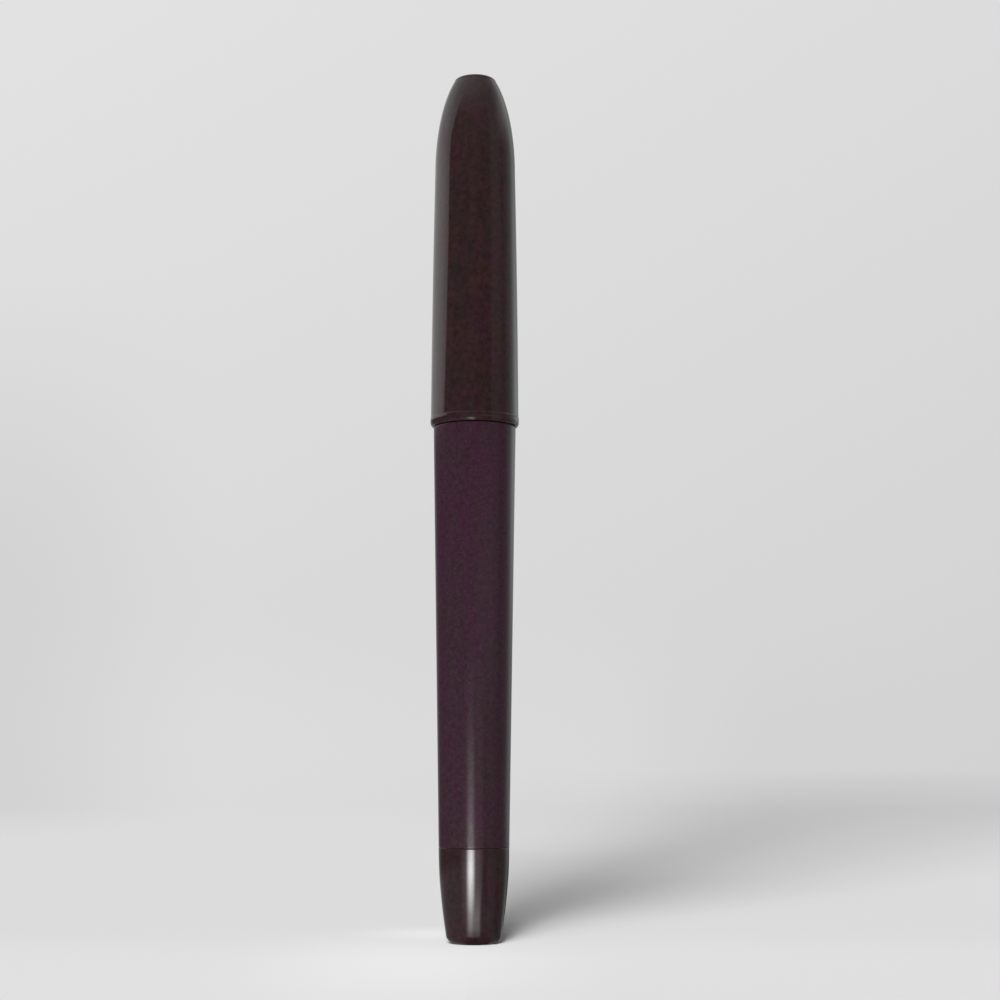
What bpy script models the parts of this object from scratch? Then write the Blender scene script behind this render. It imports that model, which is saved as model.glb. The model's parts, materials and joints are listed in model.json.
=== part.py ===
# Liquid eyeliner pen, standing on its tail end with the cap on.
# Metres, +Z up, origin at the centre of the foot. Radii and heights are those of the moulded pieces.

import math

import bmesh
import bpy

for old_object in list(bpy.data.objects):
    bpy.data.objects.remove(old_object, do_unlink=True)

# Fits between pieces
seat_gap = 0.0003        # where one piece seats on or in another
snap_gap = 0.0002        # where a snap bead passes over another
cut_overrun = 0.0004     # how far a cutter runs past what it cuts
weld_distance = 0.000001

# Facets round a turned piece
case_steps = 36
inner_steps = 28
core_steps = 20

# Tail plug: closes the tank and is the foot
plug_length = 0.0138
plug_collar_radius = 0.00524
plug_collar_height = 0.0016
plug_foot_radius = 0.00412
plug_foot_rounding_width = 0.0016
plug_foot_rounding_height = 0.00133
plug_side_bow = 0.00019
plug_seam_bevel = 0.0001
plug_floor = 0.0032
plug_core_radius = 0.0026
plug_core_rounding = 0.0008
spigot_length = 0.0095
spigot_chamfer = 0.0005
latch_height = 0.0022    # middle of the latching bead above the seam
latch_width = 0.0009
latch_rise = 0.0004
tail_seal_height = 0.0062
tail_seal_wire = 0.0004
tail_groove_depth = 0.0007

# Barrel: the decorated tube, which is the tank
barrel_length = 0.0626
barrel_mouth_radius = 0.00624
barrel_tail_radius = 0.00524
barrel_mouth_rounding = 0.0002
barrel_seam_bevel = 0.0001
tank_tail_radius = 0.0043
tank_ledge_radius = 0.0045
mouth_bore_radius = 0.00495

# Front section: skirt in the barrel, neck under the cap, cone, seat of the inner cap, nose
skirt_length = 0.0125
skirt_wall = 0.00075
skirt_chamfer = 0.0003
neck_radius = 0.00518
neck_length = 0.0087
neck_rounding = 0.0003
neck_bead_height = 0.0042
neck_bead_rise = 0.00018
neck_bead_width = 0.0009
cone_base_radius = 0.0049
cone_top_radius = 0.004
cone_length = 0.011
cone_bow = 0.0002
seat_radius = 0.00315
seat_length = 0.0038
nose_base_radius = 0.0029
nose_tip_radius = 0.00205
nose_length = 0.0112
nose_edge = 0.0003
nose_bore_radius = 0.0016
socket_radius = 0.00225
socket_slope = 0.0015

# Nib, its sleeve and the feed core
sleeve_wall = 0.00025
sleeve_length = 0.0118
sleeve_setback = 0.0004  # below the nose's rim
nib_reach = 0.0075       # out of the nose
nib_point_radius = 0.00012
nib_shoulder_share = 0.12
nib_belly = 0.00007
nib_root = 0.0108        # inside the sleeve
core_radius = 0.0008
core_reach = 0.0085      # into the tank, from the collector's rear
core_chamfer = 0.0002

# Collector: fins that take up the liquid which warm air pushes out of the tank
collector_bore_radius = 0.0011
collector_hub_radius = 0.0021
rear_flange = 0.0009
front_flange = 0.0009
fine_fins = 14
fine_pitch = 0.0009
fine_fin = 0.0004
coarse_fins = 6
coarse_pitch = 0.0014
coarse_fin = 0.0006
collector_spigot_wall = 0.0008
slit_width = 0.0003
vent_width = 0.001
vent_depth = 0.0006

# Gasket between the front section and the barrel's ledge
gasket_thickness = 0.0008
gasket_inner_radius = 0.004
gasket_edge = 0.00015

# Mixing ball
ball_radius = 0.00175

# Cap: bullet nose on a slightly tapered side, with a proud band round its lip
cap_lip_radius = 0.00667
cap_shoulder_radius = 0.00617
cap_side_bow = 0.00007
cap_nose_length = 0.0151
crown_cut = 0.00185      # how much of the nose's full ellipse the crown cuts off
crown_edge_height = 0.00048
crown_edge_width = 0.001
crown_dome = 0.00005
band_height = 0.00125
band_rise = 0.00007
band_bevel = 0.00012
lip_rounding_height = 0.0008
lip_rounding_width = 0.0004
cap_wall = 0.0009
crown_wall = 0.0015
lip_chamfer = 0.0002
snap_height = 0.0027
snap_width = 0.0009
stop_thickness = 0.0008
rib_count = 6
rib_thickness = 0.0007
rib_length = 0.0185
rib_bite = 0.00025       # into the cap's wall

# Inner cap: seals over the nose, held between the cap's stop ring and its spring
inner_cap_wall = 0.00055
inner_cap_flange_radius = 0.00475
inner_cap_flange = 0.001
inner_cap_travel = 0.0015
inner_cap_body_length = 0.0145
inner_cap_top_radius = 0.003
inner_cap_top_wall = 0.001
nib_clearance = 0.0008
spring_post_radius = 0.00125
spring_post_height = 0.0008

# Spring above the inner cap
spring_radius = 0.0019
spring_wire = 0.00025
spring_length = 0.0089
spring_curls = 6
spring_points_per_curl = 10

# Heights of the pieces, each from the one that carries it
barrel_base = plug_length + seat_gap
barrel_top = barrel_base + barrel_length
cap_base = barrel_top + seat_gap
neck_base = barrel_top + seat_gap
skirt_end = barrel_top - skirt_length
gasket_base = skirt_end - seat_gap - gasket_thickness
ledge_height = gasket_base - seat_gap
cone_base = neck_base + neck_length
seat_base = cone_base + cone_length
nose_base = seat_base + seat_length
nose_tip = nose_base + nose_length
nib_tip = nose_tip + nib_reach
sleeve_base = nose_tip - sleeve_setback - sleeve_length
nib_base = nose_tip - nib_root
core_top = nib_base - seat_gap
core_base = skirt_end - core_reach
inner_cap_base = seat_base + seat_gap
inner_cap_length = nib_tip + nib_clearance + inner_cap_top_wall - inner_cap_base
inner_cap_top = inner_cap_base + inner_cap_length
rib_base = inner_cap_base + inner_cap_flange + inner_cap_travel + seat_gap
spring_base = inner_cap_top + seat_gap
crown_ceiling = spring_base + spring_length + seat_gap
cap_length = crown_ceiling + crown_wall - cap_base
cap_nose_reach = cap_nose_length + crown_cut
ball_base = plug_floor + seat_gap

# Radii of the pieces that fit inside others
spigot_radius = tank_tail_radius - seat_gap
latch_radius = spigot_radius + latch_rise
skirt_radius = mouth_bore_radius - seat_gap
skirt_bore_radius = skirt_radius - skirt_wall
fin_radius = skirt_bore_radius - seat_gap
collector_spigot_radius = collector_bore_radius + collector_spigot_wall
sleeve_radius = nose_bore_radius - snap_gap
sleeve_bore_radius = sleeve_radius - sleeve_wall
nib_radius = sleeve_bore_radius - snap_gap
neck_bead_radius = neck_radius + neck_bead_rise
snap_radius = neck_bead_radius + snap_gap
stop_radius = cone_top_radius + seat_gap
inner_cap_bore = seat_radius + seat_gap
inner_cap_radius = inner_cap_bore + inner_cap_wall
inner_cap_tip_bore = inner_cap_top_radius - inner_cap_wall
rib_radius = inner_cap_radius + seat_gap
fine_length = fine_fins * fine_pitch
coarse_length = coarse_fins * coarse_pitch
finned_length = rear_flange + fine_length + coarse_length + front_flange
socket_base = skirt_end + finned_length + seat_gap
collector_length = sleeve_base - seat_gap - skirt_end


def material(name, colour, roughness, metallic=0.0, coat=0.0):
    finish = bpy.data.materials.new(name)
    finish.use_nodes = True
    shader = finish.node_tree.nodes["Principled BSDF"]
    shader.inputs["Base Color"].default_value = (*colour, 1)
    shader.inputs["Roughness"].default_value = roughness
    shader.inputs["Metallic"].default_value = metallic
    shader.inputs["Coat Weight"].default_value = coat
    finish.diffuse_color = (*colour, 1)
    return finish


def arc(middle, half_width, half_height, start, end, count):
    # Points on an ellipse in the plane of radius and height, angles from the radius axis
    points = []
    for index in range(count + 1):
        angle = math.radians(start + (end - start) * index / count)
        radius = middle[0] + half_width * math.cos(angle)
        height = middle[1] + half_height * math.sin(angle)
        points.append((radius, height))
    return points


def bowed(start, end, bow, count):
    # Points from start to end along a line that swells outwards by the bow at its middle
    points = []
    for index in range(count + 1):
        share = index / count
        radius = start[0] + (end[0] - start[0]) * share + bow * 4 * share * (1 - share)
        height = start[1] + (end[1] - start[1]) * share
        points.append((radius, height))
    return points


def bead(middle, base_radius, top_radius, width):
    # A raised or sunk ring on a wall, from its upper foot to its lower one
    half = width / 2
    flat = width / 5
    return [
        (base_radius, middle + half),
        (top_radius, middle + flat),
        (top_radius, middle - flat),
        (base_radius, middle - half),
    ]


def upwards(points):
    return list(reversed(points))


def show(name, mesh, height, finish, carrier=None):
    piece = bpy.data.objects.new(name, mesh)
    bpy.context.collection.objects.link(piece)
    piece.location.z = height
    if carrier:
        piece.parent = carrier
        piece.location.z = height - carrier.location.z
    mesh.materials.append(finish)
    return piece


def turned_mesh(name, outline, steps, closed):
    # The outline spun round the Z axis; a closed outline makes a tube or a ring
    shape = bmesh.new()
    corners = [shape.verts.new((radius, 0, height)) for radius, height in outline]
    edges = [shape.edges.new(pair) for pair in zip(corners, corners[1:])]
    if closed:
        edges.append(shape.edges.new((corners[-1], corners[0])))
    bmesh.ops.spin(
        shape,
        geom=corners + edges,
        cent=(0, 0, 0),
        axis=(0, 0, 1),
        angle=math.tau,
        steps=steps,
        use_merge=True,
    )
    bmesh.ops.remove_doubles(shape, verts=shape.verts, dist=weld_distance)
    bmesh.ops.recalc_face_normals(shape, faces=shape.faces)
    mesh = bpy.data.meshes.new(name)
    shape.to_mesh(mesh)
    shape.free()
    mesh.shade_smooth()
    mesh.set_sharp_from_angle(angle=math.radians(35))
    return mesh


def turned(name, outline, height, finish, steps, closed=False, carrier=None):
    mesh = turned_mesh(name, outline, steps, closed)
    return show(name, mesh, height, finish, carrier)


def block(name, size, middle, spin=0.0):
    # A hidden box, turned about the Z axis after it is placed, for cutting or joining
    shape = bmesh.new()
    bmesh.ops.create_cube(shape, size=1)
    for corner in shape.verts:
        corner.co = [share * side + place for share, side, place in zip(corner.co, size, middle)]
    mesh = bpy.data.meshes.new(name)
    shape.to_mesh(mesh)
    shape.free()
    tool = bpy.data.objects.new(name, mesh)
    bpy.context.collection.objects.link(tool)
    tool.rotation_euler.z = spin
    tool.hide_render = True
    tool.display_type = "WIRE"
    return tool


def combine(piece, tool, operation):
    tool.parent = piece
    step = piece.modifiers.new(tool.name, "BOOLEAN")
    step.operation = operation
    step.solver = "EXACT"
    step.object = tool


def make_tail_plug(finish):
    foot_flat = plug_foot_radius - plug_foot_rounding_width
    foot_middle = (foot_flat, plug_foot_rounding_height)
    collar_base = plug_length - plug_collar_height
    spigot_top = plug_length + spigot_length
    seal_middle = plug_length + tail_seal_height
    groove_half = tail_seal_wire + snap_gap
    groove_radius = spigot_radius - tail_groove_depth
    core_corner = (plug_core_radius - plug_core_rounding, plug_floor + plug_core_rounding)

    outline = [(0, plug_floor)]
    outline += arc(core_corner, plug_core_rounding, plug_core_rounding, -90, 0, 2)
    outline += [
        (plug_core_radius, spigot_top - spigot_chamfer),
        (plug_core_radius + spigot_chamfer / 2, spigot_top),
        (spigot_radius - spigot_chamfer, spigot_top),
        (spigot_radius, spigot_top - spigot_chamfer),
        (spigot_radius, seal_middle + groove_half),
        (groove_radius, seal_middle + groove_half),
        (groove_radius, seal_middle - groove_half),
        (spigot_radius, seal_middle - groove_half),
    ]
    outline += bead(plug_length + latch_height, spigot_radius, latch_radius, latch_width)
    outline += [
        (spigot_radius, plug_length),
        (plug_collar_radius - plug_seam_bevel, plug_length),
        (plug_collar_radius, plug_length - plug_seam_bevel),
    ]
    outline += bowed(
        (plug_collar_radius, collar_base),
        (plug_foot_radius, plug_foot_rounding_height),
        plug_side_bow,
        4,
    )
    outline += arc(foot_middle, plug_foot_rounding_width, plug_foot_rounding_height, 0, -90, 4)[1:]
    outline += [(0, 0)]
    return turned("tail_plug", outline, 0, finish, case_steps)


def make_tail_seal(finish, plug):
    wire_middle = spigot_radius - tail_groove_depth + snap_gap + tail_seal_wire
    outline = arc((wire_middle, 0), tail_seal_wire, tail_seal_wire, 0, 360, 8)[:-1]
    height = plug_length + tail_seal_height
    return turned("tail_seal", outline, height, finish, inner_steps, closed=True, carrier=plug)


def make_barrel(finish):
    ledge = ledge_height - barrel_base
    latch_middle = latch_height - seat_gap
    latch_groove_radius = latch_radius + seat_gap
    latch_groove_width = latch_width + 2 * seat_gap
    rounding = barrel_mouth_rounding

    outline = arc(
        (barrel_mouth_radius - rounding, barrel_length - rounding), rounding, rounding, 90, 0, 2
    )
    outline += [
        (barrel_tail_radius, barrel_seam_bevel),
        (barrel_tail_radius - barrel_seam_bevel, 0),
        (tank_tail_radius, 0),
    ]
    outline += upwards(bead(latch_middle, tank_tail_radius, latch_groove_radius, latch_groove_width))
    outline += [
        (tank_ledge_radius, ledge),
        (mouth_bore_radius, ledge),
        (mouth_bore_radius, barrel_length),
    ]
    return turned("barrel", outline, barrel_base, finish, case_steps, closed=True)


def make_mixing_ball(finish, barrel):
    outline = arc((0, ball_radius), ball_radius, ball_radius, 90, -90, 10)
    outline[0] = (0, 2 * ball_radius)
    outline[-1] = (0, 0)
    return turned("mixing_ball", outline, ball_base, finish, core_steps, carrier=barrel)


def make_front_seal(finish, barrel):
    outer = skirt_radius
    inner = gasket_inner_radius
    outline = [
        (inner + gasket_edge, gasket_thickness),
        (outer - gasket_edge, gasket_thickness),
        (outer, gasket_thickness - gasket_edge),
        (outer, gasket_edge),
        (outer - gasket_edge, 0),
        (inner + gasket_edge, 0),
        (inner, gasket_edge),
        (inner, gasket_thickness - gasket_edge),
    ]
    return turned("front_seal", outline, gasket_base, finish, inner_steps, closed=True, carrier=barrel)


def make_front_section(finish, barrel):
    neck_end = neck_length
    cone_end = neck_end + cone_length
    seat_end = cone_end + seat_length
    nose_end = seat_end + nose_length
    skirt_low = skirt_end - neck_base
    socket_low = socket_base - neck_base
    sleeve_stop = sleeve_base - snap_gap - neck_base

    outline = arc((nose_tip_radius - nose_edge, nose_end - nose_edge), nose_edge, nose_edge, 90, 0, 3)
    outline += [
        (nose_base_radius, seat_end),
        (seat_radius, seat_end - (seat_radius - nose_base_radius)),
        (seat_radius, cone_end),
    ]
    outline += bowed((cone_top_radius, cone_end), (cone_base_radius, neck_end), cone_bow, 3)
    neck_corner = (neck_radius - neck_rounding, neck_end - neck_rounding)
    outline += arc(neck_corner, neck_rounding, neck_rounding, 90, 0, 2)
    outline += bead(neck_bead_height, neck_radius, neck_bead_radius, neck_bead_width)
    outline += [
        (neck_radius, 0),
        (skirt_radius, 0),
        (skirt_radius, skirt_low + skirt_chamfer),
        (skirt_radius - skirt_chamfer, skirt_low),
        (skirt_bore_radius, skirt_low),
        (skirt_bore_radius, socket_low),
        (socket_radius, socket_low + socket_slope),
        (socket_radius, sleeve_stop),
        (nose_bore_radius, sleeve_stop),
        (nose_bore_radius, nose_end),
    ]
    return turned("front_section", outline, neck_base, finish, inner_steps, closed=True, carrier=barrel)


def make_collector(finish, barrel):
    front = finned_length
    outline = [
        (collector_bore_radius, collector_length),
        (collector_spigot_radius, collector_length),
        (collector_spigot_radius, front),
        (fin_radius, front),
    ]
    fin_base = front - front_flange
    for count, pitch, fin in ((coarse_fins, coarse_pitch, coarse_fin), (fine_fins, fine_pitch, fine_fin)):
        for _ in range(count):
            outline += [
                (fin_radius, fin_base),
                (collector_hub_radius, fin_base),
                (collector_hub_radius, fin_base - (pitch - fin)),
                (fin_radius, fin_base - (pitch - fin)),
            ]
            fin_base -= pitch
    outline += [
        (fin_radius, 0),
        (collector_bore_radius, 0),
    ]
    collector = turned("collector", outline, skirt_end, finish, core_steps, closed=True, carrier=barrel)

    slit_top = front - front_flange
    slit = block(
        "collector_slit",
        (slit_width, fin_radius + cut_overrun, slit_top + cut_overrun),
        (0, -(fin_radius + cut_overrun) / 2, (slit_top - cut_overrun) / 2),
    )
    vent_base = rear_flange
    vent_top = front + cut_overrun
    vent_floor = fin_radius - vent_depth
    vent_rim = fin_radius + cut_overrun
    vent = block(
        "collector_vent",
        (vent_width, vent_rim - vent_floor, vent_top - vent_base),
        (0, (vent_rim + vent_floor) / 2, (vent_top + vent_base) / 2),
    )
    combine(collector, slit, "DIFFERENCE")
    combine(collector, vent, "DIFFERENCE")
    return collector


def make_feed_core(finish, barrel):
    length = core_top - core_base
    outline = [
        (0, length),
        (core_radius - core_chamfer, length),
        (core_radius, length - core_chamfer),
        (core_radius, core_chamfer),
        (core_radius - core_chamfer, 0),
        (0, 0),
    ]
    return turned("feed_core", outline, core_base, finish, core_steps, carrier=barrel)


def make_nib_sleeve(finish, barrel):
    edge = sleeve_wall / 3
    outline = [
        (sleeve_bore_radius, sleeve_length),
        (sleeve_radius - edge, sleeve_length),
        (sleeve_radius, sleeve_length - edge),
        (sleeve_radius, edge),
        (sleeve_radius - edge, 0),
        (sleeve_bore_radius, 0),
    ]
    return turned("nib_sleeve", outline, sleeve_base, finish, core_steps, closed=True, carrier=barrel)


def make_nib(finish, barrel):
    length = nib_root + nib_reach
    shoulder = nib_root + nib_reach * nib_shoulder_share
    point = nib_point_radius
    outline = arc((0, length - point), point, point, 90, 10, 3)
    outline[0] = (0, length)
    outline += upwards(bowed((nib_radius, shoulder), (point, length - point), nib_belly, 5))[1:]
    outline += [
        (nib_radius, core_chamfer),
        (nib_radius - core_chamfer, 0),
        (0, 0),
    ]
    return turned("nib", outline, nib_base, finish, core_steps, carrier=barrel)


def make_cap(finish):
    side_end = cap_length - cap_nose_length
    nose_middle = (0, side_end)
    crown_angle = math.degrees(math.asin((cap_nose_length - crown_edge_height) / cap_nose_reach))
    outer_nose = arc(nose_middle, cap_shoulder_radius, cap_nose_reach, crown_angle, 0, 8)
    crown_radius = outer_nose[0][0]
    crown_middle = (crown_radius - crown_edge_width, cap_length - crown_edge_height)
    crown_rim = arc(crown_middle, crown_edge_width, crown_edge_height - crown_dome, 90, 0, 3)
    band_radius = cap_lip_radius + band_rise
    rounding_middle = (band_radius - lip_rounding_width, lip_rounding_height)

    outline = [(0, cap_length)]
    outline += crown_rim[:-1]
    outline += outer_nose
    outline += bowed(
        (cap_shoulder_radius, side_end), (cap_lip_radius, band_height + band_bevel), cap_side_bow, 3
    )[1:]
    outline += [(band_radius, band_height)]
    outline += arc(rounding_middle, lip_rounding_width, lip_rounding_height, 0, -90, 3)

    # Inside, from the lip up: bore, snap bead, stop ring, bore, nose and ceiling
    lip_bore = cap_lip_radius - cap_wall
    shoulder_bore = cap_shoulder_radius - cap_wall
    stop_top = inner_cap_base - seat_gap - cap_base
    stop_bore = lip_bore + (shoulder_bore - lip_bore) * stop_top / side_end
    ceiling = cap_length - crown_wall
    inner_reach = cap_nose_reach - crown_wall
    ceiling_angle = math.degrees(math.asin((ceiling - side_end) / inner_reach))
    outline += [
        (lip_bore + lip_chamfer, 0),
        (lip_bore, lip_chamfer),
    ]
    outline += upwards(bead(snap_height, lip_bore, snap_radius, snap_width))
    outline += [
        (stop_bore, stop_top - stop_thickness),
        (stop_radius, stop_top - stop_thickness),
        (stop_radius, stop_top),
        (stop_bore, stop_top),
    ]
    outline += arc(nose_middle, shoulder_bore, inner_reach, 0, ceiling_angle, 5)
    outline += [(0, ceiling)]
    cap = turned("cap_shell", outline, cap_base, finish, case_steps)

    rib_low = rib_base - cap_base
    rib_bore = lip_bore + (shoulder_bore - lip_bore) * rib_low / side_end
    rib_outer = rib_bore + rib_bite
    for index in range(rib_count):
        rib = block(
            f"cap_rib_{index + 1}",
            (rib_outer - rib_radius, rib_thickness, rib_length),
            ((rib_outer + rib_radius) / 2, 0, rib_low + rib_length / 2),
            math.tau * (index + 0.5) / rib_count,
        )
        combine(cap, rib, "UNION")
    return cap


def make_inner_cap(finish, cap):
    length = inner_cap_length
    edge = inner_cap_wall / 2
    tip_ceiling = length - inner_cap_top_wall
    seal_depth = seat_length + seat_gap
    outline = [
        (0, length + spring_post_height),
        (spring_post_radius - edge, length + spring_post_height),
        (spring_post_radius, length + spring_post_height - edge),
        (spring_post_radius, length),
        (inner_cap_top_radius - edge, length),
        (inner_cap_top_radius, length - edge),
        (inner_cap_radius, inner_cap_body_length),
        (inner_cap_radius, inner_cap_flange),
        (inner_cap_flange_radius, inner_cap_flange),
        (inner_cap_flange_radius, 0),
        (inner_cap_bore + edge / 2, 0),
        (inner_cap_bore, edge),
        (inner_cap_bore, seal_depth),
        (inner_cap_tip_bore, tip_ceiling),
        (0, tip_ceiling),
    ]
    return turned("inner_cap", outline, inner_cap_base, finish, inner_steps, carrier=cap)


def helix(length):
    # Centre line of the spring, with each end running straight on for one wire diameter
    count = spring_curls * spring_points_per_curl
    points = []
    for index in range(count + 1):
        turn = math.tau * index / spring_points_per_curl
        points.append((
            spring_radius * math.cos(turn),
            spring_radius * math.sin(turn),
            length * index / count,
        ))
    run_on = 2 * spring_wire
    first = (spring_radius, -run_on, 0)
    last = (spring_radius * math.cos(turn), spring_radius * math.sin(turn) + run_on, length)
    return [first] + points + [last]


def least_gap(points):
    # Between stretches of the wire that are more than half a curl apart, surface to surface
    apart = spring_points_per_curl // 2 + 2
    pairs = (
        math.dist(points[low], points[high])
        for low in range(len(points))
        for high in range(low + apart, len(points))
    )
    return min(pairs) - 2 * spring_wire


def make_cap_spring(finish, cap):
    points = helix(spring_length - 2 * spring_wire)
    print(f"cap_spring: least gap to itself {least_gap(points) * 1000:.2f} mm")
    wire = bpy.data.curves.new("cap_spring", "CURVE")
    wire.dimensions = "3D"
    wire.bevel_depth = spring_wire
    wire.bevel_resolution = 1
    wire.use_fill_caps = True
    line = wire.splines.new("POLY")
    line.points.add(len(points) - 1)
    for target, place in zip(line.points, points):
        target.co = (*place, 1)
    line.use_smooth = True
    return show("cap_spring", wire, spring_base + spring_wire, finish, cap)


gloss_plum = material("gloss_plum", (0.032, 0.016, 0.018), 0.16, coat=0.5)
satin_plum = material("satin_plum", (0.045, 0.023, 0.034), 0.42)
natural_plastic = material("natural_plastic", (0.62, 0.60, 0.56), 0.45)
black_plastic = material("black_plastic", (0.012, 0.012, 0.013), 0.38)
white_plastic = material("white_plastic", (0.74, 0.73, 0.70), 0.4)
black_felt = material("black_felt", (0.009, 0.008, 0.009), 0.95)
dark_rubber = material("dark_rubber", (0.02, 0.02, 0.02), 0.7)
bright_steel = material("bright_steel", (0.62, 0.62, 0.63), 0.2, metallic=1.0)

tail_plug = make_tail_plug(gloss_plum)
tail_seal = make_tail_seal(dark_rubber, tail_plug)
barrel = make_barrel(satin_plum)
mixing_ball = make_mixing_ball(bright_steel, barrel)
front_seal = make_front_seal(dark_rubber, barrel)
front_section = make_front_section(black_plastic, barrel)
collector = make_collector(white_plastic, barrel)
feed_core = make_feed_core(black_felt, barrel)
nib_sleeve = make_nib_sleeve(natural_plastic, barrel)
nib = make_nib(black_felt, barrel)
cap_shell = make_cap(gloss_plum)
inner_cap = make_inner_cap(natural_plastic, cap_shell)
cap_spring = make_cap_spring(bright_steel, cap_shell)
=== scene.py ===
import json
import math

import bpy
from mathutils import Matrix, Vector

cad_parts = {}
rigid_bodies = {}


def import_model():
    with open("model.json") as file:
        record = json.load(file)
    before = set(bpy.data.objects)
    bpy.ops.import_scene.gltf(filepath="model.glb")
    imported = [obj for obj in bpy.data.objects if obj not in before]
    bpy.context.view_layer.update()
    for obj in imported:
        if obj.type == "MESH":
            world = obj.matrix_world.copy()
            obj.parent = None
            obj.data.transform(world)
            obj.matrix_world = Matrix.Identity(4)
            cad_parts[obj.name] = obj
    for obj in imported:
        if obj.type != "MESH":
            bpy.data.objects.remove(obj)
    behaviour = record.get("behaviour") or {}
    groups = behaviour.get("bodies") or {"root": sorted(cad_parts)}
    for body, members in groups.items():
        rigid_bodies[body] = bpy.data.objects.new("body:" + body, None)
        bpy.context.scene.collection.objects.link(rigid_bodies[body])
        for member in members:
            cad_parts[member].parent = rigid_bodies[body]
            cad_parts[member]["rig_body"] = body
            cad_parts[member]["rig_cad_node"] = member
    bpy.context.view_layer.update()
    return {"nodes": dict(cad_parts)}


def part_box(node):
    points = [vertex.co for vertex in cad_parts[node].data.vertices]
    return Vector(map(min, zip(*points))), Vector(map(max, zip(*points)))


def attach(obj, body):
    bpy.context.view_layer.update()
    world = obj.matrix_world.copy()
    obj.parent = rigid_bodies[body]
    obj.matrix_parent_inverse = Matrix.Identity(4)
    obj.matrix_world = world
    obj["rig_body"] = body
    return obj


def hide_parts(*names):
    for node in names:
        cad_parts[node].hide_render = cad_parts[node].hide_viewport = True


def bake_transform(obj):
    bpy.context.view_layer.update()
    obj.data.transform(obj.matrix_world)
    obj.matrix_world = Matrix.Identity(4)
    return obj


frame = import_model()
nodes = frame["nodes"]
print("frame loaded:", len(nodes), "nodes")

studio = bpy.context.scene
studio.view_settings.view_transform = "Standard"


# Camera: low in front of the pen, looking slightly up at the cap
cameraSetup = {
    "lens": 72,
    "distance": 0.30026,    # in front of the pen's axis
    "height": 0.02618,
    "sideStep": 0.00385,
    "pitch": 7.52,          # degrees above level
}


def addCamera(setup):
    bpy.ops.object.camera_add(
        location=(setup["sideStep"], -setup["distance"], setup["height"]),
        rotation=(math.radians(90 + setup["pitch"]), 0, 0),
    )
    camera = bpy.context.object
    camera.name = "photoCamera"
    camera.data.lens = setup["lens"]
    camera.data.sensor_width = 36.0
    camera.data.clip_start = 0.01
    camera.data.clip_end = 30.0
    studio.camera = camera


addCamera(cameraSetup)


# Gaps that the solids leave where pieces are seated, and where snap beads pass
seatGap = 0.0003
snapGap = 0.0002

# Turning: rings are extruded one from the other, as on a lathe
poleRadius = 0.000004           # where a profile meets the axis, until it is merged
smoothAngle = math.radians(32)


def arcRings(middle, wide, tall, start, end, count):
    rings = []
    for step in range(count + 1):
        angle = math.radians(start + (end - start) * step / count)
        rings.append((middle[0] + wide * math.cos(angle), middle[1] + tall * math.sin(angle)))
    return rings


def bowRings(start, end, bow, count):
    rings = []
    for step in range(count + 1):
        share = step / count
        radius = start[0] + (end[0] - start[0]) * share + bow * 4 * share * (1 - share)
        rings.append((radius, start[1] + (end[1] - start[1]) * share))
    return rings


def beadRings(middle, baseRadius, topRadius, width, count=8):
    # A rounded ring on a wall, raised or sunk, from its upper foot down to its lower one
    rings = []
    for step in range(count + 1):
        share = step / count
        rise = math.sin(math.pi * share) ** 1.5 if 0 < step < count else 0.0
        rings.append((baseRadius + (topRadius - baseRadius) * rise, middle + width * (0.5 - share)))
    return rings


def softCorner(corner, before, after, size, count):
    # A rounded corner between two straight stretches of the profile
    def toward(point):
        length = math.dist(corner, point)
        share = min(size / length, 0.45)
        return tuple(corner[i] + (point[i] - corner[i]) * share for i in (0, 1))
    first, last = toward(before), toward(after)
    rings = []
    for step in range(count + 1):
        t = step / count
        a, b, c = (1 - t) ** 2, 2 * t * (1 - t), t ** 2
        rings.append(tuple(a * first[i] + b * corner[i] + c * last[i] for i in (0, 1)))
    return rings


def roundedProfile(points, size, closed, count=3):
    # Every corner of a plain profile gets the same small rounding; points on the axis stay sharp
    rings = []
    total = len(points)
    for index, corner in enumerate(points):
        atEnd = not closed and index in (0, total - 1)
        if atEnd or corner[0] == 0:
            rings.append(corner)
        else:
            rings += softCorner(corner, points[index - 1], points[(index + 1) % total], size, count)
    return rings


def deselectAll():
    bpy.ops.object.select_all(action="DESELECT")


def setMode(mode):
    bpy.ops.object.mode_set(mode=mode)


def applyPlace():
    bpy.ops.object.transform_apply(location=True, rotation=True, scale=True)


def turnPiece(name, rings, sides, closed):
    deselectAll()
    radius, height = max(rings[0][0], poleRadius), rings[0][1]
    bpy.ops.mesh.primitive_circle_add(
        vertices=sides, radius=radius, fill_type="NOTHING", location=(0, 0, height)
    )
    piece = bpy.context.object
    piece.name = name
    piece.data.name = name
    applyPlace()
    setMode("EDIT")
    bpy.ops.mesh.select_mode(type="VERT")
    bpy.ops.mesh.select_all(action="SELECT")
    path = rings[1:] + ([rings[0]] if closed else [])
    for nextRadius, nextHeight in path:
        nextRadius = max(nextRadius, poleRadius)
        bpy.ops.mesh.extrude_region_move(
            TRANSFORM_OT_translate={"value": (0, 0, nextHeight - height)}
        )
        scale = nextRadius / radius
        bpy.ops.transform.resize(value=(scale, scale, 1), center_override=(0, 0, nextHeight))
        radius, height = nextRadius, nextHeight
    bpy.ops.mesh.select_all(action="SELECT")
    bpy.ops.mesh.remove_doubles(threshold=2.5 * poleRadius)
    bpy.ops.mesh.select_all(action="SELECT")
    bpy.ops.mesh.normals_make_consistent(inside=False)
    setMode("OBJECT")
    bpy.ops.object.shade_smooth_by_angle(angle=smoothAngle)
    return piece


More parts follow.
